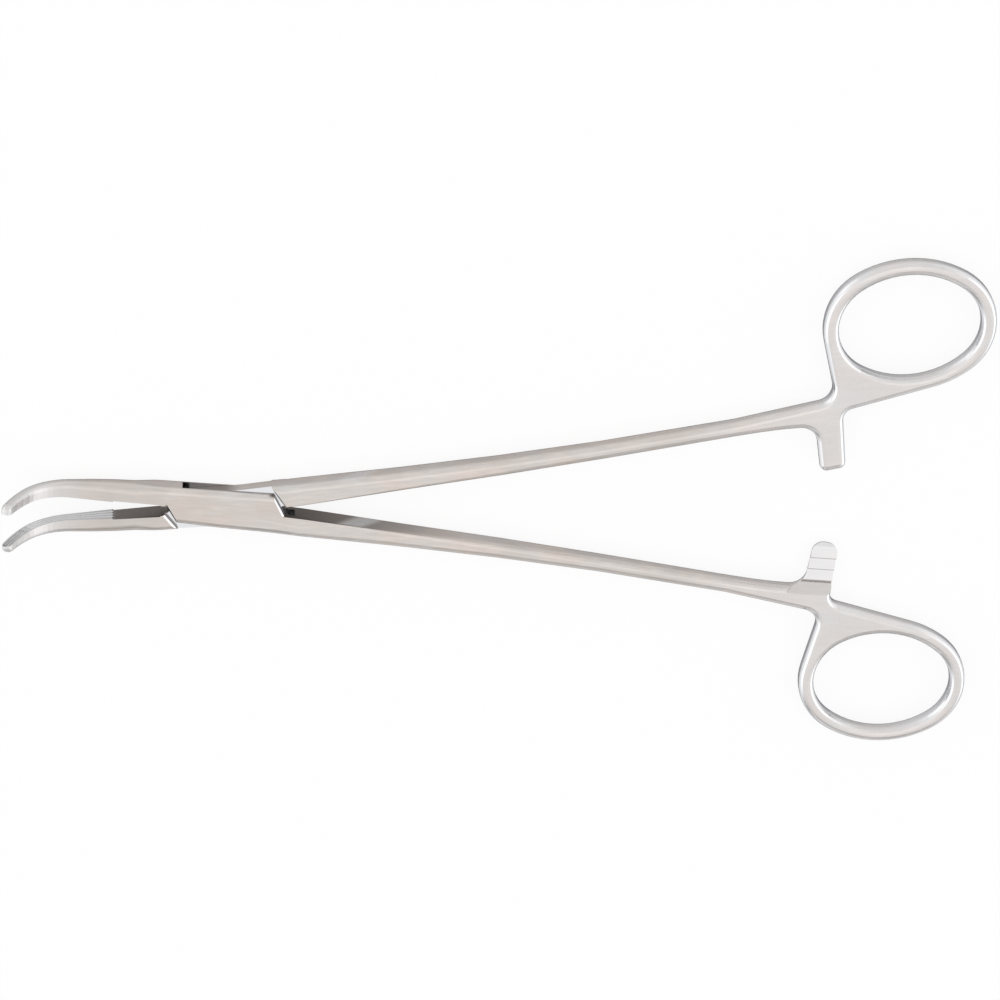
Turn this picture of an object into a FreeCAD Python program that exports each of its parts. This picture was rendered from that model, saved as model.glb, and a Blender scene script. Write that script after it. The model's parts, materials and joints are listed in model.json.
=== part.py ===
"""Gall duct forceps: a slender box-lock clamp with bent, ridged jaws.

Each half is drawn closed, with the pivot axis at the origin, the rings towards +X,
its jaw on the +Y side and its shank on the -Y side. The jaws meet at y = 0 and the
mid-plane of the lock is z = 0. The half with the tongue is drawn the same way and
then mirrored. The finished halves are turned open and lifted so that the underside
of the box lies at z = 0.
"""
import FreeCAD, Part

import math
import os

# Opening between the two halves as they lie, in degrees
REST_OPENING = 9.0

# Lock: a tongue runs through a slotted box and turns on a pin
BOX_THICKNESS = 4.8
TONGUE_THICKNESS = 2.4
SLOT_CLEARANCE = 0.05
PIN_DIAMETER = 2.6
PIN_CLEARANCE = 0.03
LOCK_START = -13.0
BOX_TOP = 4.0
BOX_LOWER_CORNER = -3.25
BOX_UNDERSIDE_START = -4.0
BOX_UNDERSIDE = ((-2.4, -3.72), (9.0, -4.15))
CROTCH_HEIGHT = -0.25
RING_SIDE_WALL = 9.1
RING_SIDE_ANGLE = 28.6
RING_SIDE_GAP = 0.35
JAW_SIDE_WALL = 9.8
JAW_SIDE_ANGLE = 33.4
JAW_SIDE_GAP = 0.2
SLOT_JAW_END = -9.15
SLOT_JAW_ANGLE = 39.3
SLOT_SHANK_END = 12.6
TONGUE_WAIST = (1.6, 3.35)
TONGUE_HEEL = (1.0, -4.0)
TONGUE_SHOULDER = (-7.25, -4.1)
TONGUE_SHOULDER_RADIUS = 0.6
TONGUE_LEVEL_RUN = 1.0
TONGUE_END_GAP = 0.45
TONGUE_UNDERSIDE = (9.0, -4.35)
BOX_EDGE_RADIUS = 1.15
EDGE_BREAK = 0.3
INNER_EDGE_RADIUS = 0.15
BEVEL = 0.32

# Handle: from the pivot axis to the middle of the finger ring, along and across
HANDLE_LENGTH = 130.4
HANDLE_SPREAD = 28.05
HANDLE_THICKNESS = 3.5

# Shank, from the lock to the web of the ring
SHANK_START = (14.0, -2.41)
SHANK_EDGE_RADIUS = 1.2
SHANK_STATIONS = (
    # shares of the way to the ring's middle, along and across,
    # then width, thickness and the radius of the inner edges
    (0.0, 0.0, 4.10, BOX_THICKNESS, INNER_EDGE_RADIUS),
    (0.163, 0.0449, 3.38, 4.50, 0.60),
    (0.3265, 0.094, 3.06, 4.15, 0.95),
    (0.494, 0.1587, 2.86, 3.85, SHANK_EDGE_RADIUS),
    (0.7045, 0.2601, 2.92, HANDLE_THICKNESS, SHANK_EDGE_RADIUS),
)

# Finger ring, an oval of four arcs; near is the end towards the lock, and each end
# of the opening curves this much tighter than half the opening's width
RING_OPENING_LENGTH = 27.0
RING_OPENING_WIDTH = 21.3
RING_NEAR_TIGHTER = 1.15
RING_FAR_TIGHTER = 1.65
RING_END_BAR = 2.95
RING_SIDE_BAR = 2.75

# Neck between shank and ring, and ratchet tab, placed from the ring's middle
NECK_CORNER = (-14.3, 14.2)
NECK_RADIUS = 3.2
TAB_LEFT_ROOT = (-18.2, 19.55)
TAB_RIGHT_ROOT = (-12.95, 16.7)
TAB_FACE_START = -19.4
TAB_LEFT_EDGE = -17.45
TAB_RIGHT_EDGE = -12.55
TAB_LEFT_ROOT_RADIUS = 3.2
TAB_RIGHT_ROOT_RADIUS = 2.2
BOX_HALF_TAB_RADIUS = 2.2
TONGUE_HALF_TAB_RADIUS = 1.4

# How far the tab reaches past the middle of the closed instrument, and its teeth
TAB_LEFT_REACH = 1.15
TAB_RIGHT_REACH = 0.5
TAB_FACE_CLEARANCE = 0.1
TOOTH_COUNT = 3
TOOTH_PITCH = 2.42
TOOTH_DEPTH = 0.45
FIRST_TOOTH = -2.5
RAMP_FOOT = 0.26
RAMP_RUN = 2.0

# Jaw, straight from the lock and then bent up
JAW_MEETING = 0.36
JAW_CLEARANCE = 0.03
JAW_RELIEF = 0.2
RIDGES_START = -22.0
BEND_START = -30.45
BEND_RADIUS = 10.2
BEND_ANGLE = 52.9
TIP_CURVE_RADIUS = 26.0
TIP_LENGTH = 7.2
NOSE_LENGTH = 1.1
NOSE_END_SHARE = 0.35
JAW_SIZES = (
    # distance from the lock, depth along the bend's plane, height above the meeting plane
    (0.0, BOX_THICKNESS, BOX_TOP - JAW_MEETING),
    (8.0, 4.15, 3.58),
    (13.0, 3.35, 3.36),
    (17.45, 2.65, 3.02),
    (33.7, 2.04, 1.70),
)
JAW_ROUNDNESS = 0.42
TONGUE_JAW_SHARE = 0.94
JAW_ROOT_STATIONS = (0.0, 1.5, 5.0)
BEND_STEPS = 8
TIP_STEPS = 3
NOSE_SHARES = (0.4, 0.7, 0.9, 1.0)
GROOVE_WIDTH = 0.42
GROOVE_DEPTH = 0.28
BOX_JAW_GROOVES = (-0.375, -0.125, 0.125, 0.375)
TONGUE_JAW_GROOVES = (-0.26, 0.0, 0.26)

# Rounded edges of handle and ring are drawn in this many strips per quarter turn
ROUNDING_STEPS = 4

# Cutting tools reach this far past what they cut
OVERCUT = 6.0
BEVEL_OVERCUT = 1.0


def vec(x, y, z=0.0):
    return FreeCAD.Vector(x, y, z)


def heading(degrees):
    turn = math.radians(degrees)
    return vec(math.cos(turn), math.sin(turn))


def line(a, b):
    return Part.LineSegment(a, b).toShape()


def spline(points, start, end):
    curve = Part.BSplineCurve()
    curve.interpolate(Points=points, InitialTangent=start, FinalTangent=end)
    return curve.toShape()


def polygon(points):
    return [line(a, b) for a, b in zip(points, points[1:] + points[:1])]


def prism(edges, low, high):
    """A closed outline in the plane of the instrument, from z = low to high."""
    face = Part.Face(Part.Wire(Part.__sortEdges__(edges)))
    face.translate(vec(0, 0, low))
    return face.extrude(vec(0, 0, high - low))


def round_edges(solid, outline, radius):
    """Round the front and back edges that run along part of an outline."""
    chosen = []
    for edge in solid.Edges:
        middle = edge.valueAt((edge.FirstParameter + edge.LastParameter) / 2)
        flat = Part.Vertex(middle.x, middle.y, 0)
        on_outline = any(part.distToShape(flat)[0] < 0.01 for part in outline)
        if on_outline and abs(middle.z) > EDGE_BREAK:
            chosen.append(edge)
    return solid.makeFillet(radius, chosen).Solids[0]


def quarter_turns():
    return [math.pi / 2 * step / ROUNDING_STEPS for step in range(ROUNDING_STEPS + 1)]


def rounded_plate(outline, thickness, radius, growth=-1):
    """A plate with rounded edges, from a function that draws its outline larger or smaller.

    With growth -1 the outline shrinks towards both faces; with 1 it grows, as the
    tool for a hole whose edges are rounded.
    """
    levels = []
    for turn in quarter_turns():
        offset = growth * radius * (1 - math.cos(turn))
        levels.append((offset, thickness / 2 - radius * (1 - math.sin(turn))))
    wires = []
    for offset, z in [(offset, -z) for offset, z in reversed(levels)] + levels:
        wire = Part.Wire(outline(offset))
        wire.translate(vec(0, 0, z))
        wires.append(wire)
    return Part.makeLoft(wires, True, True)


def corner_arc(before, corner, after, radius, offset=0.0):
    """Round a corner of an outline that runs clockwise: the arc's start, its end and the arc.

    The offset moves the outline outwards without moving the arc's centre.
    """
    back = (before - corner).normalize()
    on = (after - corner).normalize()
    half_angle = back.getAngle(on) / 2
    middle = (back + on).normalize()
    centre = corner + middle * (radius / math.sin(half_angle))
    start = corner + back * (radius / math.tan(half_angle))
    end = corner + on * (radius / math.tan(half_angle))
    hollow = on.cross(back).z > 0
    size = 1 - offset / radius if hollow else 1 + offset / radius
    start = centre + (start - centre) * size
    end = centre + (end - centre) * size
    return start, end, Part.Arc(start, centre - middle * (radius * size), end).toShape()


def interpolate(table, x, column):
    """Read a column of a table whose first column rises."""
    for first, second in zip(table, table[1:]):
        if x <= second[0] or second is table[-1]:
            share = (x - first[0]) / (second[0] - first[0])
            return first[column] + share * (second[column] - first[column])


def shank_place(number):
    along, across = SHANK_STATIONS[number][:2]
    x, y = SHANK_START
    return vec(x + along * (HANDLE_LENGTH - x), y - across * (HANDLE_SPREAD + y))


def shank_direction(number):
    last = len(SHANK_STATIONS) - 1
    return (shank_place(min(number + 1, last)) - shank_place(max(number - 1, 0))).normalize()


def shank_edge(number, side):
    """A point on the inner (1) or outer (-1) edge at one station."""
    width = SHANK_STATIONS[number][2]
    along = shank_direction(number)
    return shank_place(number) + vec(-along.y, along.x) * (side * width / 2)


def shank_section(number):
    """A rounded rectangle square to the shank at one station, with true arcs at the lock."""
    width, thickness, inner_radius = SHANK_STATIONS[number][2:]
    along = shank_direction(number)
    across = vec(-along.y, along.x)
    corners = (
        (1, 1, inner_radius), (1, -1, inner_radius),
        (-1, -1, SHANK_EDGE_RADIUS), (-1, 1, SHANK_EDGE_RADIUS),
    )
    points = []
    edges = []
    for index, (side, rise, radius) in enumerate(corners):
        hub = shank_place(number) + across * (side * (width / 2 - radius))
        hub = hub + vec(0, 0, rise * (thickness / 2 - radius))
        turns = quarter_turns()
        if index % 2:
            turns.reverse()
        for step, turn in enumerate(turns):
            points.append(rounded_point(hub, across * side, rise, radius, turn))
            if step == 0 and index > 0:
                edges.append(line(points[-2], points[-1]))
            elif step > 0 and number == 0:
                between = rounded_point(
                    hub, across * side, rise, radius, (turns[step - 1] + turn) / 2)
                edges.append(Part.Arc(points[-2], between, points[-1]).toShape())
            elif step > 0:
                edges.append(line(points[-2], points[-1]))
    edges.append(line(points[-1], points[0]))
    return Part.Wire(edges)


def rounded_point(hub, outward, rise, radius, turn):
    """A point of a rounded edge, from the face (0) to the side (a quarter turn)."""
    return hub + outward * (radius * math.sin(turn)) + vec(0, 0, rise * radius * math.cos(turn))


def shank():
    sections = [shank_section(number) for number in range(len(SHANK_STATIONS))]
    return Part.makeLoft(sections, True, True)


def from_ring(x, y):
    return vec(HANDLE_LENGTH + x, y - HANDLE_SPREAD)


def ring_circles(end_bar, side_bar):
    """Far, inner, near and outer arc of the oval that lies outside the opening by the bars.

    Each is a centre, a radius and a start and end angle. The circles of the two sides
    are drawn so that they touch both end circles.
    """
    length = RING_OPENING_LENGTH + 2 * end_bar
    width = RING_OPENING_WIDTH + 2 * side_bar
    near_radius = RING_OPENING_WIDTH / 2 - RING_NEAR_TIGHTER + end_bar
    far_radius = RING_OPENING_WIDTH / 2 - RING_FAR_TIGHTER + end_bar
    near = length / 2 - near_radius
    far = length / 2 - far_radius
    near_rise = width / 2 - near_radius
    far_rise = width / 2 - far_radius
    slope = far_rise * near + near_rise * far
    bend = far_rise - near_rise
    rest = far_rise * near ** 2 - near_rise * far ** 2 + near_rise * far_rise * bend
    middle = -rest / (slope + math.sqrt(slope ** 2 - bend * rest))
    drop = ((middle + near) ** 2 - near_rise ** 2) / (2 * near_rise)
    far_turn = math.atan2(drop, far - middle)
    near_turn = math.atan2(drop, -near - middle)
    full = 2 * math.pi
    return [
        (from_ring(far, 0), far_radius, -far_turn, far_turn),
        (from_ring(middle, -drop), width / 2 + drop, far_turn, near_turn),
        (from_ring(-near, 0), near_radius, near_turn, full - near_turn),
        (from_ring(middle, drop), width / 2 + drop, full - near_turn, full - far_turn),
    ]


def circle_arc(centre, radius, start, end):
    points = []
    for angle in (start, (start + end) / 2, end):
        points.append(centre + vec(math.cos(angle), math.sin(angle)) * radius)
    return points[0], points[2], Part.Arc(*points).toShape()


def ring_opening(offset):
    circles = ring_circles(0, 0)
    return [circle_arc(centre, radius + offset, *turns)[2] for centre, radius, *turns in circles]


def touch_angle(point, centre, radius, side):
    """Where a line from a point touches a circle, as an angle on the circle."""
    offset = point - centre
    return math.atan2(offset.y, offset.x) + side * math.acos(radius / offset.Length)


def last_crest():
    """Where the tooth nearest to the shank rises."""
    return FIRST_TOOTH - (TOOTH_COUNT - 1) * TOOTH_PITCH


def tooth_cutter():
    """What is cleared from one face of the tab: down a ramp, then along the saw teeth.

    Its end towards the lock leans at 45 degrees, so that the shank runs out softly.
    """
    top = -TAB_FACE_CLEARANCE
    low = top - TOOTH_DEPTH
    tip = TAB_LEFT_REACH + OVERCUT
    ramp_foot = last_crest() - RAMP_FOOT
    ramp_top = ramp_foot - RAMP_RUN
    profile = [
        (tip, low), (tip, HANDLE_THICKNESS), (ramp_top, HANDLE_THICKNESS),
        (ramp_top, HANDLE_THICKNESS / 2), (ramp_foot, low), (last_crest(), low)]
    for number in range(TOOTH_COUNT - 1, -1, -1):
        crest = FIRST_TOOTH - number * TOOTH_PITCH
        profile += [(crest, top), (crest + TOOTH_PITCH, low)]
    left = from_ring(TAB_FACE_START, 0).x
    right = from_ring(*TAB_RIGHT_ROOT).x + 2 * OVERCUT
    points = [vec(left - (z - low), y, z) for y, z in profile]
    face = Part.Face(Part.makePolygon(points + points[:1]))
    return face.extrude(vec(right - left, 0, 0))


def head_outline(tab_radius, offset):
    """Web, finger ring and ratchet tab, clockwise from the shank's inner edge."""
    last = len(SHANK_STATIONS) - 1
    along = shank_direction(last)
    outward = vec(-along.y, along.x) * offset
    inner = shank_edge(last, 1)
    outer = shank_edge(last, -1)

    left_root = from_ring(*TAB_LEFT_ROOT)
    right_root = from_ring(*TAB_RIGHT_ROOT)
    left_tip = vec(from_ring(TAB_LEFT_EDGE, 0).x, TAB_LEFT_REACH)
    right_tip = vec(from_ring(TAB_RIGHT_EDGE, 0).x, TAB_RIGHT_REACH)
    neck_corner = from_ring(*NECK_CORNER)
    far, inner_side, near, outer_side = ring_circles(RING_END_BAR, RING_SIDE_BAR)
    top_angle = touch_angle(right_root, inner_side[0], inner_side[1], -1)
    neck_angle = touch_angle(neck_corner, near[0], near[1], 1)
    ring_top = circle_arc(inner_side[0], inner_side[1], top_angle, inner_side[2])[0]
    ring_neck = circle_arc(near[0], near[1], near[3], neck_angle)[1]

    root_on, tab_start, root_arc = corner_arc(
        left_root - vec(OVERCUT, 0), left_root, left_tip, TAB_LEFT_ROOT_RADIUS, offset)
    tip_in, tip_on, left_arc = corner_arc(left_root, left_tip, right_tip, tab_radius, offset)
    tip_off, tip_out, right_arc = corner_arc(left_tip, right_tip, right_root, tab_radius, offset)
    tab_end, heel, heel_arc = corner_arc(
        right_tip, right_root, ring_top, TAB_RIGHT_ROOT_RADIUS, offset)
    neck_low, neck_top, neck_arc = corner_arc(
        ring_neck, neck_corner, outer + along, NECK_RADIUS, offset)
    top_start, _, top_arc = circle_arc(
        inner_side[0], inner_side[1] + offset, top_angle, inner_side[2])
    _, near_end, near_arc = circle_arc(near[0], near[1] + offset, near[3], neck_angle)

    inner = inner + outward
    outer = outer - outward
    return [
        line(inner, inner + along), spline([inner + along, root_on], along, vec(1, 0)),
        root_arc, line(tab_start, tip_in), left_arc, line(tip_on, tip_off), right_arc,
        line(tip_out, tab_end), heel_arc, line(heel, top_start), top_arc,
        circle_arc(far[0], far[1] + offset, far[3], far[2])[2],
        circle_arc(outer_side[0], outer_side[1] + offset, outer_side[3], outer_side[2])[2],
        near_arc, line(near_end, neck_low), neck_arc,
        line(neck_top, outer + along), line(outer + along, outer), line(outer, inner)]


def handle_head(toothed_face, tab_radius):
    """Web, ring and tab as a rounded plate; the teeth face +Z (1) or -Z (-1)."""
    head = rounded_plate(
        lambda offset: head_outline(tab_radius, offset), HANDLE_THICKNESS, SHANK_EDGE_RADIUS)
    head = head.cut(rounded_plate(ring_opening, HANDLE_THICKNESS, SHANK_EDGE_RADIUS, 1))
    cutter = tooth_cutter()
    if toothed_face < 0:
        cutter = cutter.mirror(vec(0, 0), vec(0, 0, 1))
    return head.cut(cutter).Solids[0]


def ring_wall(distance, y, slope):
    """A point on a slanted end wall of the lock on its ring side."""
    turn = math.radians(RING_SIDE_ANGLE)
    return vec((distance + slope * y * math.sin(turn)) / math.cos(turn), y)


def jaw_wall(distance, y, slope):
    """A point on a slanted end wall of the lock on its jaw side."""
    turn = math.radians(JAW_SIDE_ANGLE)
    return vec(-(distance + slope * y * math.sin(turn)) / math.cos(turn), y)


def slot_jaw_end(y):
    """The slot's leaning end on the jaw side."""
    return vec(SLOT_JAW_END - (BOX_TOP - y) * math.tan(math.radians(SLOT_JAW_ANGLE)), y)


def slot_shank_end(y):
    lean = math.tan(math.radians(RING_SIDE_ANGLE))
    return vec(SLOT_SHANK_END + (y - CROTCH_HEIGHT) * lean, y)


def bevel_cutters(start, end, outward):
    """Triangular bars that bevel the front and back edges of an end wall."""
    half = BOX_THICKNESS / 2
    cutters = []
    for side in (1, -1):
        points = [
            start - outward * BEVEL + vec(0, 0, side * half),
            start + vec(0, 0, side * (half - BEVEL)),
            start + outward * BEVEL_OVERCUT + vec(0, 0, side * (half - BEVEL)),
            start + outward * BEVEL_OVERCUT + vec(0, 0, side * (half + BEVEL_OVERCUT)),
            start - outward * BEVEL + vec(0, 0, side * (half + BEVEL_OVERCUT))]
        face = Part.Face(Part.makePolygon(points + points[:1]))
        cutters.append(face.extrude(end - start))
    return cutters


def crotch_point(distance, slope):
    """Where the inner edge of the shank starts, in line with its first station."""
    inner = shank_edge(0, 1)
    along = shank_direction(0)
    x = ring_wall(distance, CROTCH_HEIGHT, slope).x
    return inner - along * ((inner.x - x) / along.x)


def box_lock():
    """The box: two walls with the slot for the tongue between them."""
    along = shank_direction(0)
    inner = shank_edge(0, 1)
    outer = shank_edge(0, -1)
    outer_back = outer - along
    crotch = crotch_point(RING_SIDE_WALL, -1)
    top_end = ring_wall(RING_SIDE_WALL, BOX_TOP, -1)
    jaw_low = jaw_wall(JAW_SIDE_WALL, BOX_LOWER_CORNER, 1)
    meeting = JAW_MEETING + JAW_CLEARANCE
    jaw_high = jaw_wall(JAW_SIDE_WALL, meeting, 1)
    start_low = vec(LOCK_START, meeting)
    start_high = vec(LOCK_START, BOX_TOP)

    top = line(start_high, top_end)
    upper = line(crotch, inner)
    lower = line(outer_back, outer)
    points = [jaw_low] + [vec(*point) for point in BOX_UNDERSIDE] + [outer_back]
    underside = spline(points, heading(BOX_UNDERSIDE_START), along)
    half = BOX_THICKNESS / 2
    block = prism(
        [top, line(top_end, crotch), upper, line(inner, outer), lower, underside,
         line(jaw_low, jaw_high), line(jaw_high, start_low), line(start_low, start_high)],
        -half, half)
    block = round_edges(block, [top], BOX_EDGE_RADIUS)
    block = round_edges(block, [underside, lower], SHANK_EDGE_RADIUS)
    block = round_edges(block, [upper], INNER_EDGE_RADIUS)

    ring_out = heading(RING_SIDE_ANGLE)
    jaw_out = heading(180 + JAW_SIDE_ANGLE)
    past_top = ring_wall(RING_SIDE_WALL, BOX_TOP + BEVEL_OVERCUT, -1)
    cutters = bevel_cutters(crotch, past_top, ring_out)
    cutters += bevel_cutters(
        jaw_wall(JAW_SIDE_WALL, JAW_MEETING + JAW_RELIEF, 1),
        jaw_wall(JAW_SIDE_WALL, BOX_LOWER_CORNER - BEVEL_OVERCUT, 1), jaw_out)

    slot_half = TONGUE_THICKNESS / 2 + SLOT_CLEARANCE
    reach = BOX_TOP + OVERCUT
    slot = polygon([
        slot_jaw_end(reach), slot_shank_end(reach), slot_shank_end(-reach), slot_jaw_end(-reach)])
    cutters.append(prism(slot, -slot_half, slot_half))
    cutters.append(Part.makeCylinder(PIN_DIAMETER / 2, BOX_THICKNESS, vec(0, 0, -half)))
    for cutter in cutters:
        block = block.cut(cutter)
    return block.Solids[0]


def tongue_lock():
    """The tongue, thinned on both faces between its two shoulders."""
    along = shank_direction(0)
    inner = shank_edge(0, 1)
    outer = shank_edge(0, -1)
    outer_back = outer - along
    ring_shoulder = RING_SIDE_WALL + RING_SIDE_GAP
    jaw_shoulder = JAW_SIDE_WALL + JAW_SIDE_GAP
    meeting = JAW_CLEARANCE - JAW_MEETING
    jaw_height = (BOX_TOP - JAW_MEETING) * TONGUE_JAW_SHARE - JAW_MEETING
    crotch = crotch_point(ring_shoulder, 1)
    waist = vec(*TONGUE_WAIST)
    heel = vec(*TONGUE_HEEL)
    corner = vec(slot_jaw_end(JAW_MEETING + JAW_CLEARANCE).x + TONGUE_END_GAP, meeting)
    shoulder_in, shoulder_out, shoulder_arc = corner_arc(
        heel, vec(*TONGUE_SHOULDER), corner, TONGUE_SHOULDER_RADIUS)
    start_low = vec(LOCK_START, meeting)
    start_high = vec(LOCK_START, jaw_height)

    level_end = start_high + vec(TONGUE_LEVEL_RUN, 0)
    top = [line(start_high, level_end), spline([level_end, waist], vec(1, 0), vec(1, 0))]
    upper = line(crotch, inner)
    lower = line(outer_back, outer)
    underside = spline([heel, vec(*TONGUE_UNDERSIDE), outer_back], vec(1, 0), along)
    half = BOX_THICKNESS / 2
    block = prism(
        top + [line(waist, crotch), upper, line(inner, outer), lower, underside,
         line(heel, shoulder_in), shoulder_arc, line(shoulder_out, corner),
         line(corner, start_low), line(start_low, start_high)],
        -half, half)
    block = round_edges(block, top, BOX_EDGE_RADIUS)
    block = round_edges(block, [underside, lower], SHANK_EDGE_RADIUS)
    block = round_edges(block, [upper], INNER_EDGE_RADIUS)

    reach = BOX_TOP + OVERCUT
    thinned = polygon([
        jaw_wall(jaw_shoulder, reach, -1), ring_wall(ring_shoulder, reach, 1),
        ring_wall(ring_shoulder, -reach, 1), jaw_wall(jaw_shoulder, -reach, -1)])
    tongue_half = TONGUE_THICKNESS / 2
    cutters = [prism(thinned, tongue_half, half), prism(thinned, -half, -tongue_half)]
    ring_in = heading(180 - RING_SIDE_ANGLE)
    jaw_in = heading(-JAW_SIDE_ANGLE)
    cutters += bevel_cutters(
        ring_wall(ring_shoulder, -reach, 1),
        ring_wall(ring_shoulder, CROTCH_HEIGHT + BEVEL_OVERCUT, 1), ring_in)
    cutters += bevel_cutters(
        jaw_wall(jaw_shoulder, reach, -1),
        jaw_wall(jaw_shoulder, meeting - BEVEL_OVERCUT, -1), jaw_in)
    bore = PIN_DIAMETER / 2 + PIN_CLEARANCE
    cutters.append(Part.makeCylinder(bore, BOX_THICKNESS, vec(0, 0, -half)))
    for cutter in cutters:
        block = block.cut(cutter)
    return block.Solids[0]


def jaw_frame(distance):
    """Place and slope of the jaw's centre line at a distance from the lock."""
    straight = LOCK_START - BEND_START
    bend = math.radians(BEND_ANGLE)
    bend_length = BEND_RADIUS * bend
    if distance <= straight:
        return LOCK_START - distance, 0.0, 0.0
    if distance <= straight + bend_length:
        angle = (distance - straight) / BEND_RADIUS
        x = BEND_START - BEND_RADIUS * math.sin(angle)
        return x, BEND_RADIUS * (1 - math.cos(angle)), angle
    angle = bend + (distance - straight - bend_length) / TIP_CURVE_RADIUS
    x = BEND_START - BEND_RADIUS * math.sin(bend)
    x -= TIP_CURVE_RADIUS * (math.sin(angle) - math.sin(bend))
    z = BEND_RADIUS * (1 - math.cos(bend))
    z += TIP_CURVE_RADIUS * (math.cos(bend) - math.cos(angle))
    return x, z, angle


def jaw_length():
    return LOCK_START - BEND_START + BEND_RADIUS * math.radians(BEND_ANGLE) + TIP_LENGTH


def ridges_distance():
    return LOCK_START - RIDGES_START


def ridged_stations():
    """Distances from the lock: close together in the bend and round the nose."""
    straight = LOCK_START - BEND_START
    bend_length = BEND_RADIUS * math.radians(BEND_ANGLE)
    nose = jaw_length() - NOSE_LENGTH
    tip = nose - straight - bend_length
    stations = [ridges_distance(), (ridges_distance() + straight) / 2, straight]
    stations += [straight + bend_length * (n + 1) / BEND_STEPS for n in range(BEND_STEPS)]
    stations += [straight + bend_length + tip * (n + 1) / TIP_STEPS for n in range(TIP_STEPS)]
    return stations + [nose + NOSE_LENGTH * share for share in NOSE_SHARES]


def jaw_points(distance, meeting, outline):
    """Place (depth, height) points square to the jaw's centre line."""
    x, z, angle = jaw_frame(distance)
    front = vec(math.sin(angle), 0, math.cos(angle))
    return [vec(x, meeting + height, z) + front * depth for depth, height in outline]


def jaw_section(distance, meeting, height_share, relief, grooves):
    """The jaw's outline square to its centre line, with V grooves in the mating face."""
    past_nose = distance - (jaw_length() - NOSE_LENGTH)
    share = 1.0
    if past_nose > 0:
        round_share = math.sqrt(max(0.0, 1 - (past_nose / NOSE_LENGTH) ** 2))
        share = NOSE_END_SHARE + (1 - NOSE_END_SHARE) * round_share
    half = interpolate(JAW_SIZES, distance, 1) / 2 * share
    height = interpolate(JAW_SIZES, distance, 2) * height_share * share
    at_root = distance < JAW_ROOT_STATIONS[2]
    radius = BOX_EDGE_RADIUS if at_root else 2 * half * JAW_ROUNDNESS
    turn = radius * (1 - math.sqrt(0.5))
    base = JAW_CLEARANCE + relief
    outline = [
        (-half, base), (-half, height - radius), (-half + turn, height - turn),
        (-half + radius, height), (half - radius, height), (half - turn, height - turn),
        (half, height - radius), (half, base)]
    for groove in reversed(grooves):
        middle = groove * 2 * half
        reach = GROOVE_WIDTH / 2 * share
        depth = GROOVE_DEPTH * share
        outline += [(middle + reach, base), (middle, base + depth), (middle - reach, base)]
    p = jaw_points(distance, meeting, outline)
    edges = [
        line(p[0], p[1]), Part.Arc(p[1], p[2], p[3]).toShape(), line(p[3], p[4]),
        Part.Arc(p[4], p[5], p[6]).toShape()]
    return Part.Wire(edges + [line(a, b) for a, b in zip(p[6:], p[7:] + p[:1])])


def jaw(meeting, height_share, grooves):
    """One jaw: relieved next to the lock, then ridged; height_share sets its height."""
    relieved = list(JAW_ROOT_STATIONS) + [ridges_distance()]
    plain = [jaw_section(at, meeting, height_share, JAW_RELIEF, ()) for at in relieved]
    ridged = [jaw_section(at, meeting, height_share, 0.0, grooves) for at in ridged_stations()]
    return Part.makeLoft(plain, True, True).fuse(Part.makeLoft(ridged, True, True))


def half_forceps(lock, jaw_shape, head):
    whole = lock.fuse([jaw_shape, shank(), head])
    return whole.removeSplitter().Solids[0]


def lifted(shape, degrees):
    """Turn a half about the pivot and stand the box on z = 0."""
    shape.rotate(vec(0, 0), vec(0, 0, 1), degrees)
    shape.translate(vec(0, 0, BOX_THICKNESS / 2))
    return shape


def box_half():
    head = handle_head(1, BOX_HALF_TAB_RADIUS)
    shape = half_forceps(box_lock(), jaw(JAW_MEETING, 1.0, BOX_JAW_GROOVES), head)
    return lifted(shape, -REST_OPENING / 2)


def tongue_half():
    jaw_shape = jaw(-JAW_MEETING, TONGUE_JAW_SHARE, TONGUE_JAW_GROOVES)
    head = handle_head(-1, TONGUE_HALF_TAB_RADIUS)
    shape = half_forceps(tongue_lock(), jaw_shape, head)
    shape = shape.mirror(vec(0, 0), vec(0, 1))
    return lifted(shape, REST_OPENING / 2)


def pivot_pin():
    return Part.makeCylinder(PIN_DIAMETER / 2, BOX_THICKNESS)


def build():
    os.makedirs("parts", exist_ok=True)
    parts = {"box_half": box_half(), "tongue_half": tongue_half(), "pivot_pin": pivot_pin()}
    for name, shape in parts.items():
        print(name, shape.ShapeType, shape.isValid(), len(shape.Solids), round(shape.Volume, 1))
        shape.exportStep("parts/%s.step" % name)


build()
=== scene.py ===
"""Looks of the gall duct forceps: satin steel with polished edges, on a plain pale floor.

All lengths are in metres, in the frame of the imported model. Places on the steel are given as
if the forceps were closed: x runs along each half towards its ring and y across it with the
shank at -y, both from the pin, and z is measured from the middle of the lock. Facings are the
parts of the surface's normal in the same directions, from -1 to 1.

A fade is (start, end) or (start, end, value at start, value at end). A band is (low, high,
softness of both ends). A noise is (scale along x, y and z, detail, roughness).
"""
import json
import math
from types import SimpleNamespace

import bpy
from mathutils import Matrix, Vector


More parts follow.
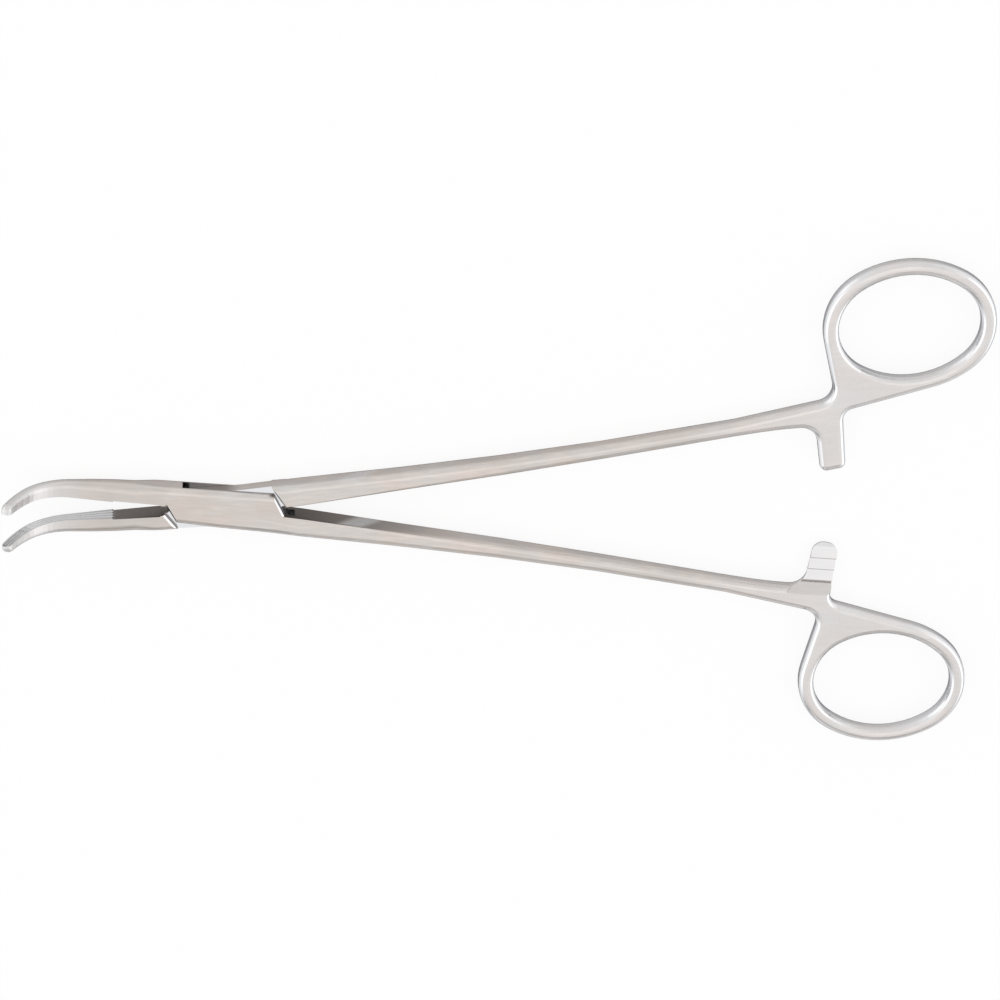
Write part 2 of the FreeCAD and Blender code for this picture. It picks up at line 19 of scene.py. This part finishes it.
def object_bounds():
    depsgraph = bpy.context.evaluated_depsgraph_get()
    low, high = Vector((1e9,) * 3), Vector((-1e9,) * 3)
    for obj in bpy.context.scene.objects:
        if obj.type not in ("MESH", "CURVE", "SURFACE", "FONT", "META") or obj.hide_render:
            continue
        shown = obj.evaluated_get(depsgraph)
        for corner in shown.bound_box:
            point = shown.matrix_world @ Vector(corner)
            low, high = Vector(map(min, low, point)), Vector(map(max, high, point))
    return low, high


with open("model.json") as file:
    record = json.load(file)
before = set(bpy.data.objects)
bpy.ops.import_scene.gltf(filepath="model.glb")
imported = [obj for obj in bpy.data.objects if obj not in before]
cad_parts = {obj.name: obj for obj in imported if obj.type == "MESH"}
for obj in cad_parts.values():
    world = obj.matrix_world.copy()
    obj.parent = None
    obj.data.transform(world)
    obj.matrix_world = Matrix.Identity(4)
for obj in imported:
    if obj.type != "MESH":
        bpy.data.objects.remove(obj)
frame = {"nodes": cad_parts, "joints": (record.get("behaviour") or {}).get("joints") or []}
cad_low, cad_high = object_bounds()
nodes = frame["nodes"]
joint = frame["joints"][0]
PIVOT = Vector(joint["pos_m"])
REST_TURN = -math.radians(joint["range_deg"][0]) / 2

# Camera
PICTURE = 1000
PIVOT_PIXEL = Vector((229.0, 507.0))
PIXELS_PER_METRE = 5260.0
CAMERA_DISTANCE = 0.818
CAMERA_TILT = math.radians(27.0)
CAMERA_TURN = math.radians(4.135)
CAMERA_ROLL = math.radians(0.129)
SENSOR = 36.0
CLIP_NEAR = 0.05
CLIP_FAR = 20.0

# Floor: just under the forceps; shares of it are plain white to the eye and in reflections
FLOOR_REACH = 3.0
FLOOR_DROP = 0.0002
FLOOR_COLOUR = (0.95, 0.95, 0.95, 1.0)
FLOOR_WHITE = 0.88
FLOOR_WHITE_REFLECTED = 0.3
WHITE = (1.0, 1.0, 1.0, 1.0)

# Studio, as fades of the direction's parts: brighter at both sides and straight above, dimmer
# in front from just over the horizon, and a little dimmer at the back
STUDIO_SIDES = (0.45, 0.9, 1.0, 1.4)
STUDIO_FRONT = (-0.5, -0.9, 0.0, 0.55)
STUDIO_FRONT_LIFT = (0.06, 0.2)
STUDIO_BACK = (0.3, 0.8, 0.0, 0.12)
STUDIO_TOP = (0.92, 0.995, 0.0, 0.15)

# Steel
WARM_STEEL = (0.775, 0.69, 0.637, 1.0)
COOL_STEEL = (0.72, 0.69, 0.665, 1.0)
SHADED_STEEL = (0.56, 0.51, 0.475, 1.0)
POLISHED_AND_HIGHLIGHT_STEEL = (0.79, 0.795, 0.81, 1.0)
# Painted shade: the colour that shaded places are darkened towards
PAINTED_SHADE_STEEL = (0.19, 0.17, 0.155, 1.0)
EDGE_TINT = (0.35, 0.35, 0.37, 1.0)
SATIN_ROUGHNESS = 0.33
POLISHED_ROUGHNESS = 0.14

# Grain and cloudiness; the grain ends where the jaws bend up, and there the steel is rougher
GRAIN = ((250, 1700, 1700), 3.0, 0.6)
PATCHES = ((120, 260, 260), 2.0, 0.5)
CLOUDS = ((70, 160, 160), 3.0, 0.6)
GRAIN_END = (-0.038, -0.030)
GRAIN_SHADE = (0.35, 0.75, 0.45, 0.0)
GRAIN_ROUGHNESS = (0.3, 0.7, -0.04, 0.04)
GRAIN_BUMP = 0.25
GRAIN_DEPTH = 0.00002
PATCH_SHARE = (0.35, 0.65)
CLOUD_SHADE = (0.35, 0.6, 0.35, 0.0)
JAW_SHADE = (-0.008, -0.022, 0.0, 0.45)
JAW_ROUGHER = (-0.030, -0.036, 0.0, 0.17)
# Painted shade: the steep side walls are darkened
SIDE_SHADE = 0.18

# Faces: steep sides, level faces, and how near the middle the thinned tongue and tabs lie
SIDE_FACING = (0.5, 0.15)
LEVEL_FACING = (0.85, 0.95)
THINNED_HEIGHT = (0.0016, 0.0014)
TABS_START = (0.100, 0.102)

# Painted highlight: a pale patch on the sides of the shank, as a band of x + z
SHANK_HIGHLIGHT_BAND = (0.0228, 0.0276, 0.0012)
SHANK_HIGHLIGHT_POLISH = 0.6
SHANK_HIGHLIGHT_PALER = 0.75

# Polished edges: little along the shanks, fully round the rings, and less where they face
# sideways, which is painted shade; the ratchet's ramp has none
EDGE_FACING = (0.985, 0.88)
EDGE_POLISH = (0.098, 0.116, 0.12, 1.0)
EDGE_SIDEWAYS_SHADE = (0.1, 0.6, 0.6, 1.0)
RAMP_FACING = (0.6, 0.7, 0.02)
RAMP_Y = (-0.0101, -0.0073, 0.0001)

# Other polished places; the bent jaws and the ridges of the mating face are also paled as
# painted highlights
HANDLE_POLISH = (0.075, 0.112, 0.0, 0.4)
JAW_POLISH_AND_HIGHLIGHT = (-0.024, -0.038, 0.0, 0.6)
RIDGE_FACING = (-0.3, -0.5)
RIDGES_START = (-0.0214, -0.0218)
TONGUE_X = (-0.018, 0.014, 0.001)
TEETH_POLISH = (-0.00745, -0.00735, 0.0, 0.7)
BEVEL_FACING = (0.6, 0.8, 0.02)
BEVEL_ASLANT = (0.5, 0.7, 0.02)
BEVEL_X = (-0.016, 0.013, 0.0005)

# Painted shade, darkening where shade falls: the relieved mating faces between the jaws, the
# tongue's edge inside the slot, the inside of the shank next to the lock and the grooves
MATING_FACING = (-0.5, -0.8)
MATING_X = (-0.0222, -0.0085, 0.0001)
MATING_PAINTED_SHADE = 0.75
TONGUE_EDGE_X = (-0.01, 0.001, 0.002)
TONGUE_EDGE_HEIGHT = (0.0013, 0.00125)
TONGUE_EDGE_PAINTED_SHADE = 0.7
SHANK_FACING = (0.55, 0.85)
SHANK_START = (0.007, 0.008)
SHANK_PAINTED_SHADE = (0.014, 0.050, 0.9, 0.0)
GROOVE_FACING = (-0.78, -0.42, 0.03)
GROOVE_PAINTED_SHADE = 0.25

# Painted shadow: dark lines at the steps of the ratchet's teeth, where the crests shade the
# valleys
TOOTH_COUNT = 3
FIRST_CREST_Y = -0.0025
TOOTH_PITCH = 0.00242
TOOTH_SHADOW_LINE = 0.00012
TOOTH_SHADOW_SOFT = 0.00003
TOOTH_SHADOW_DARK = 0.7


def make_camera():
    """A camera at the photograph's viewing angle, aimed so that the pivot is at its pixel."""
    data = bpy.data.cameras.new("camera")
    camera = bpy.data.objects.new("camera", data)
    bpy.context.scene.collection.objects.link(camera)
    bpy.context.scene.camera = camera
    data.sensor_width = SENSOR
    data.lens = SENSOR * PIXELS_PER_METRE * CAMERA_DISTANCE / PICTURE
    data.clip_start = CLIP_NEAR
    data.clip_end = CLIP_FAR
    turn = (
        Matrix.Rotation(-CAMERA_ROLL, 3, "Z")
        @ Matrix.Rotation(-CAMERA_TILT, 3, "X")
        @ Matrix.Rotation(-CAMERA_TURN, 3, "Y"))
    across = (PIVOT_PIXEL.x - PICTURE / 2) / PIXELS_PER_METRE
    down = (PIVOT_PIXEL.y - PICTURE / 2) / PIXELS_PER_METRE
    back = Vector((-across, down, CAMERA_DISTANCE))
    camera.matrix_world = Matrix.Translation(PIVOT + turn @ back) @ turn.to_4x4()


def new_material(name):
    """A material with an empty node tree."""
    material = bpy.data.materials.new(name)
    material.use_nodes = True
    tree = material.node_tree
    tree.nodes.clear()
    return material, tree


def add(tree, kind, **settings):
    """A new node; settings name its properties or, by input name, its default values."""
    node = tree.nodes.new(kind)
    for key, value in settings.items():
        if hasattr(node, key):
            setattr(node, key, value)
        else:
            node.inputs[key.replace("_", " ")].default_value = value
    return node


def feed(tree, value, slot):
    """Set an input from a number or link it to an output."""
    if isinstance(value, bpy.types.NodeSocket):
        tree.links.new(value, slot)
    else:
        slot.default_value = value


def calculate(tree, operation, *values):
    """The result of one step of arithmetic on numbers and outputs."""
    node = add(tree, "ShaderNodeMath", operation=operation)
    for value, slot in zip(values, node.inputs):
        feed(tree, value, slot)
    return node.outputs[0]


def product(tree, result, *others):
    for other in others:
        result = calculate(tree, "MULTIPLY", result, other)
    return result


def strongest(tree, result, *others):
    for other in others:
        result = calculate(tree, "MAXIMUM", result, other)
    return result


def fade(tree, value, start, end, low=0.0, high=1.0):
    """A smooth step: low where the value is at start or before, high at end or past it."""
    node = add(tree, "ShaderNodeMapRange", interpolation_type="SMOOTHSTEP")
    for number, part in enumerate((value, start, end, low, high)):
        feed(tree, part, node.inputs[number])
    return node.outputs[0]


def band(tree, value, low, high, soft):
    """One between low and high, zero outside, with soft ends."""
    rise = fade(tree, value, low - soft, low + soft)
    fall = fade(tree, value, high - soft, high + soft, 1.0, 0.0)
    return product(tree, rise, fall)


def blend(tree, share, first, second):
    """Mix two colours, through the colour sockets of the Mix node."""
    node = add(tree, "ShaderNodeMix", data_type="RGBA")
    feed(tree, share, node.inputs["Factor"])
    feed(tree, first, node.inputs[6])
    feed(tree, second, node.inputs[7])
    return node.outputs[2]


def split(tree, vector):
    """The X, Y and Z outputs of a vector."""
    node = add(tree, "ShaderNodeSeparateXYZ")
    feed(tree, vector, node.inputs[0])
    return node.outputs[0], node.outputs[1], node.outputs[2]


def make_floor():
    """A plain pale floor that keeps the shadow of the forceps."""
    mesh = bpy.data.meshes.new("floor")
    reach = FLOOR_REACH
    corners = [(-reach, -reach, 0), (reach, -reach, 0), (reach, reach, 0), (-reach, reach, 0)]
    mesh.from_pydata(corners, [], [(0, 1, 2, 3)])
    floor = bpy.data.objects.new("floor", mesh)
    floor.location.z = cad_low.z - FLOOR_DROP
    bpy.context.scene.collection.objects.link(floor)
    material, tree = new_material("pale_floor")
    output = add(tree, "ShaderNodeOutputMaterial")
    diffuse = add(tree, "ShaderNodeBsdfDiffuse", Color=FLOOR_COLOUR)
    white = add(tree, "ShaderNodeEmission", Color=WHITE, Strength=1.0)
    path = add(tree, "ShaderNodeLightPath")
    indirect = calculate(
        tree, "ADD", path.outputs["Is Glossy Ray"], path.outputs["Is Transmission Ray"])
    share = calculate(
        tree, "MULTIPLY_ADD", path.outputs["Is Camera Ray"], FLOOR_WHITE,
        product(tree, indirect, FLOOR_WHITE_REFLECTED))
    mix = add(tree, "ShaderNodeMixShader")
    feed(tree, share, mix.inputs[0])
    feed(tree, diffuse.outputs[0], mix.inputs[1])
    feed(tree, white.outputs[0], mix.inputs[2])
    feed(tree, mix.outputs[0], output.inputs["Surface"])
    floor.data.materials.append(material)


def make_world():
    """A white studio, brighter at its sides and dimmer in front."""
    world = bpy.data.worlds.new("studio")
    bpy.context.scene.world = world
    world.use_nodes = True
    tree = world.node_tree
    tree.nodes.clear()
    x, y, z = split(tree, add(tree, "ShaderNodeTexCoord").outputs["Generated"])
    sides = fade(tree, calculate(tree, "ABSOLUTE", x), *STUDIO_SIDES)
    front = product(tree, fade(tree, y, *STUDIO_FRONT), fade(tree, z, *STUDIO_FRONT_LIFT))
    level = calculate(tree, "SUBTRACT", sides, front)
    level = calculate(tree, "SUBTRACT", level, fade(tree, y, *STUDIO_BACK))
    level = calculate(tree, "ADD", level, fade(tree, z, *STUDIO_TOP))
    background = add(tree, "ShaderNodeBackground", Color=WHITE)
    feed(tree, level, background.inputs["Strength"])
    output = add(tree, "ShaderNodeOutputWorld")
    feed(tree, background.outputs[0], output.inputs["Surface"])


def closed_frame(tree, source, kind, side):
    """Coordinates along and across one half, as if the forceps were closed."""
    mapping = add(tree, "ShaderNodeMapping", vector_type=kind)
    mapping.inputs["Rotation"].default_value = (0, 0, REST_TURN)
    mapping.inputs["Scale"].default_value = (1, side, 1)
    if kind == "POINT":
        mapping.inputs["Location"].default_value = (0, 0, -PIVOT.z)
    feed(tree, source, mapping.inputs["Vector"])
    return mapping.outputs[0]


def noise(tree, place, stretch, detail, roughness):
    """Noise that is stretched along the half."""
    mapping = add(tree, "ShaderNodeMapping", Scale=stretch)
    feed(tree, place, mapping.inputs["Vector"])
    node = add(tree, "ShaderNodeTexNoise", Scale=1.0, Detail=detail, Roughness=roughness)
    feed(tree, mapping.outputs[0], node.inputs["Vector"])
    return node.outputs[0]


def read_surface(tree, side):
    """Where a point of one half lies, how it faces, and the places that several masks need."""
    source = add(tree, "ShaderNodeTexCoord")
    place = closed_frame(tree, source.outputs["Object"], "POINT", side)
    facing = closed_frame(tree, source.outputs["Normal"], "VECTOR", side)
    x, y, z = split(tree, place)
    along, across, up = split(tree, facing)
    surface = SimpleNamespace(place=place, x=x, y=y, across=across)
    surface.height = calculate(tree, "ABSOLUTE", z)
    surface.aslant = calculate(tree, "ABSOLUTE", along)
    surface.level = calculate(tree, "ABSOLUTE", up)
    surface.sides = fade(tree, surface.level, *SIDE_FACING)
    surface.thinned = product(
        tree, fade(tree, surface.level, *LEVEL_FACING),
        fade(tree, surface.height, *THINNED_HEIGHT))
    surface.toothed = product(tree, surface.thinned, fade(tree, x, *TABS_START))
    skewed = calculate(tree, "ADD", x, z)
    # The painted highlight on the shank's sides
    surface.worn = product(tree, surface.sides, band(tree, skewed, *SHANK_HIGHLIGHT_BAND))
    surface.grained = fade(tree, x, *GRAIN_END)
    surface.grain = noise(tree, place, *GRAIN)
    return surface


def find_polish_and_highlights(tree, surface):
    """Polished places with painted highlights, from 0 for satin to 1."""
    # Polished edges, with painted shade where they face sideways
    edges = product(
        tree, fade(tree, surface.level, *EDGE_FACING), fade(tree, surface.x, *EDGE_POLISH),
        fade(tree, surface.aslant, *EDGE_SIDEWAYS_SHADE))
    ramp = product(
        tree, band(tree, surface.level, *RAMP_FACING), band(tree, surface.y, *RAMP_Y))
    edges = product(tree, edges, calculate(tree, "SUBTRACT", 1.0, ramp))
    handle = fade(tree, surface.x, *HANDLE_POLISH)
    # Painted highlight: the bent jaws paled towards polished steel
    jaw_polish_and_highlight = fade(tree, surface.x, *JAW_POLISH_AND_HIGHLIGHT)
    # Painted highlight on the ridges of the mating face
    ridge_polish_and_highlight = product(
        tree, fade(tree, surface.across, *RIDGE_FACING), fade(tree, surface.x, *RIDGES_START))
    tongue = product(tree, surface.thinned, band(tree, surface.x, *TONGUE_X))
    teeth = product(tree, surface.toothed, fade(tree, surface.y, *TEETH_POLISH))
    bevels = product(
        tree, band(tree, surface.level, *BEVEL_FACING),
        band(tree, surface.aslant, *BEVEL_ASLANT), band(tree, surface.x, *BEVEL_X))
    # Painted highlight: the pale patch on the shank's sides
    worn = product(tree, surface.worn, SHANK_HIGHLIGHT_POLISH)
    return strongest(tree, edges, handle, jaw_polish_and_highlight, ridge_polish_and_highlight, tongue, teeth, bevels, worn)


def find_painted_shade(tree, surface):
    """Painted shade on the mating faces, tongue edge, shank by the lock, grooves and teeth's
    steps, from 0 to 1.
    """
    facing = fade(tree, surface.across, *MATING_FACING)
    # Painted shade on the mating faces, the tongue's edge in the slot, the shank and the grooves
    mating = product(tree, facing, band(tree, surface.x, *MATING_X), MATING_PAINTED_SHADE)
    tongue_edge = product(
        tree, facing, band(tree, surface.x, *TONGUE_EDGE_X),
        fade(tree, surface.height, *TONGUE_EDGE_HEIGHT), TONGUE_EDGE_PAINTED_SHADE)
    shank = product(
        tree, fade(tree, surface.across, *SHANK_FACING), fade(tree, surface.x, *SHANK_START),
        fade(tree, surface.x, *SHANK_PAINTED_SHADE))
    grooves = product(
        tree, band(tree, surface.across, *GROOVE_FACING),
        fade(tree, surface.x, *RIDGES_START), GROOVE_PAINTED_SHADE)
    # All the painted shade together
    painted_shade = strongest(tree, mating, shank, tongue_edge, grooves)
    # The painted highlight lifts the painted shade under it
    painted_shade = product(tree, painted_shade, calculate(tree, "MULTIPLY_ADD", surface.worn, -SHANK_HIGHLIGHT_PALER, 1.0))
    # Painted shadow lines at the steps of the teeth
    for number in range(TOOTH_COUNT):
        crest = FIRST_CREST_Y - number * TOOTH_PITCH
        shadow_line = band(tree, surface.y, crest - TOOTH_SHADOW_LINE, crest + TOOTH_SHADOW_LINE, TOOTH_SHADOW_SOFT)
        painted_shade = strongest(tree, painted_shade, product(tree, shadow_line, surface.toothed, TOOTH_SHADOW_DARK))
    return painted_shade


def find_colour(tree, surface, polish_and_highlight, painted_shade):
    """Warm and cool satin steel, shaded in its grain and clouds, then polish and painted
    highlights, and painted shade on the steep sides and in the darkened places.
    """
    patches = noise(tree, surface.place, *PATCHES)
    clouds = noise(tree, surface.place, *CLOUDS)
    colour = blend(tree, fade(tree, patches, *PATCH_SHARE), WARM_STEEL, COOL_STEEL)
    grain_shade = product(tree, fade(tree, surface.grain, *GRAIN_SHADE), surface.grained)
    cloud_shade = fade(tree, clouds, *CLOUD_SHADE)
    jaw_shade = fade(tree, surface.x, *JAW_SHADE)
    for shade in (grain_shade, cloud_shade, jaw_shade):
        colour = blend(tree, shade, colour, SHADED_STEEL)
    # Polish and painted highlights pale the steel
    colour = blend(tree, polish_and_highlight, colour, POLISHED_AND_HIGHLIGHT_STEEL)
    # Painted shade on the steep side walls
    colour = blend(tree, product(tree, surface.sides, SIDE_SHADE), colour, PAINTED_SHADE_STEEL)
    # Painted shade in the darkened places
    return blend(tree, painted_shade, colour, PAINTED_SHADE_STEEL)


def find_roughness(tree, surface, polish_and_highlight):
    """From satin to polished, uneven with the grain and rougher on the bent jaws."""
    roughness = fade(tree, polish_and_highlight, 0.0, 1.0, SATIN_ROUGHNESS, POLISHED_ROUGHNESS)
    roughness = calculate(tree, "ADD", roughness, fade(tree, surface.grain, *GRAIN_ROUGHNESS))
    return calculate(tree, "ADD", roughness, fade(tree, surface.x, *JAW_ROUGHER))


def make_steel(name, side):
    """Satin steel with polished edges; side -1 mirrors the places for the upper half."""
    material, tree = new_material(name)
    surface = read_surface(tree, side)
    polish_and_highlight = find_polish_and_highlights(tree, surface)
    colour = find_colour(tree, surface, polish_and_highlight, find_painted_shade(tree, surface))
    bump = add(tree, "ShaderNodeBump", Strength=GRAIN_BUMP, Distance=GRAIN_DEPTH)
    feed(tree, product(tree, surface.grain, surface.grained), bump.inputs["Height"])
    shader = add(tree, "ShaderNodeBsdfPrincipled", Metallic=1.0, Specular_Tint=EDGE_TINT)
    feed(tree, colour, shader.inputs["Base Color"])
    feed(tree, find_roughness(tree, surface, polish_and_highlight), shader.inputs["Roughness"])
    feed(tree, bump.outputs[0], shader.inputs["Normal"])
    output = add(tree, "ShaderNodeOutputMaterial")
    feed(tree, shader.outputs[0], output.inputs["Surface"])
    return material


make_camera()
make_floor()
make_world()
for name, node in nodes.items():
    material = make_steel("steel_" + name, -1 if name == "tongue_half" else 1)
    node.data.materials.clear()
    node.data.materials.append(material)

bpy.context.scene.view_settings.view_transform = "Standard"
